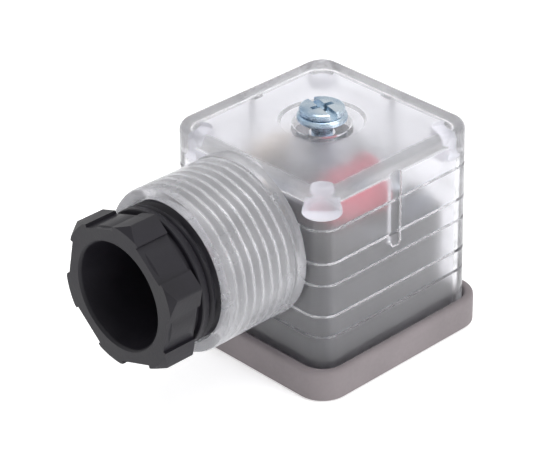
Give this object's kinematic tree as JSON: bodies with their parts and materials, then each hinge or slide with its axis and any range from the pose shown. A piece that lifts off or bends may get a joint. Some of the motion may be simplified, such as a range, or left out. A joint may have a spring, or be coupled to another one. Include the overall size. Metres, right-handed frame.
{
  "type": "solenoid valve connector",
  "caption": "Clear square plug connector for a solenoid valve coil, with an indicator lamp, a captive centre screw, a profile gasket and a side cable gland.",
  "frame": {"origin": "flat tip of the centre screw, on the screw's axis, level with the gasket's underside", "axes": "+Z along the centre screw towards its head, -Y along the cable gland towards its mouth"},
  "size_m": [0.0306, 0.0503, 0.0318],
  "materials": {
    "clear_plastic": "clear moulded polycarbonate, slightly frosted inside",
    "black_plastic": "fine moulded satin",
    "grey_rubber": "matte moulded seal",
    "black_rubber": "matte",
    "brass": "satin stamped",
    "zinc_steel": "bright bluish zinc plate",
    "board_laminate": "solder mask over glass laminate",
    "red_lens": "clear tinted epoxy",
    "grey_coating": "dipped coating",
    "beige_coating": "baked lacquer"
  },
  "bodies": {
    "base": {"gasket": "grey_rubber", "terminal_block": "black_plastic", "circuit_board": "board_laminate", "indicator_led": "red_lens", "led_lead_1": "zinc_steel", "led_lead_2": "zinc_steel", "series_resistor": "beige_coating", "rectifier_diode": "black_plastic", "varistor": "grey_coating", "contact_1": "brass", "contact_2": "brass", "contact_earth": "brass"},
    "cap": {"housing": "clear_plastic", "grommet": "black_rubber"},
    "screw_carrier": {"screw_washer": "zinc_steel", "screw_retainer": "black_rubber"},
    "centre_screw": {"centre_screw": "zinc_steel"},
    "gland_slide": {"slip_ring": "black_plastic"},
    "gland_nut": {"gland_nut": "black_plastic"},
    "clamp_1": {"clamp_plate_1": "zinc_steel"},
    "clamp_screw_1": {"clamp_screw_1": "zinc_steel"},
    "clamp_2": {"clamp_plate_2": "zinc_steel"},
    "clamp_screw_2": {"clamp_screw_2": "zinc_steel"},
    "clamp_earth": {"clamp_plate_earth": "zinc_steel"},
    "clamp_screw_earth": {"clamp_screw_earth": "zinc_steel"}
  },
  "joints": [
    {"name": "housing_lift", "type": "slide", "parent": "base", "child": "cap", "axis": [0, 0, 1], "range_m": [0, 0.03]},
    {"name": "screw_plunge", "type": "slide", "parent": "cap", "child": "screw_carrier", "axis": [0, 0, -1], "range_m": [-0.0003, 0.0018]},
    {"name": "screw_spin", "type": "hinge", "parent": "screw_carrier", "child": "centre_screw", "pos_m": [0, 0, 0], "axis": [0, 0, 1], "continuous": true},
    {"name": "gland_travel", "type": "slide", "parent": "cap", "child": "gland_slide", "axis": [0, -1, 0], "range_m": [0, 0.005]},
    {"name": "gland_nut_spin", "type": "hinge", "parent": "gland_slide", "child": "gland_nut", "pos_m": [0, -0.027, 0.01875], "axis": [0, -1, 0], "range_deg": [0, 1260]},
    {"name": "clamp_1_travel", "type": "slide", "parent": "base", "child": "clamp_1", "axis": [0, 0, 1], "range_m": [0, 0.001]},
    {"name": "clamp_screw_1_turn", "type": "hinge", "parent": "clamp_1", "child": "clamp_screw_1", "pos_m": [-0.0082, 0, 0.0165], "axis": [0, 0, 1], "range_deg": [0, 720]},
    {"name": "clamp_2_travel", "type": "slide", "parent": "base", "child": "clamp_2", "axis": [0, 0, 1], "range_m": [0, 0.001]},
    {"name": "clamp_screw_2_turn", "type": "hinge", "parent": "clamp_2", "child": "clamp_screw_2", "pos_m": [0.0082, 0, 0.0165], "axis": [0, 0, 1], "range_deg": [0, 720]},
    {"name": "clamp_earth_travel", "type": "slide", "parent": "base", "child": "clamp_earth", "axis": [0, 0, 1], "range_m": [0, 0.001]},
    {"name": "clamp_screw_earth_turn", "type": "hinge", "parent": "clamp_earth", "child": "clamp_screw_earth", "pos_m": [0, 0.0082, 0.0165], "axis": [0, 0, 1], "range_deg": [0, 720]}
  ],
  "couplings": [
    {"joint": "gland_travel", "follows": "gland_nut_spin", "m_per_rad": 0.00022457}
  ]
}
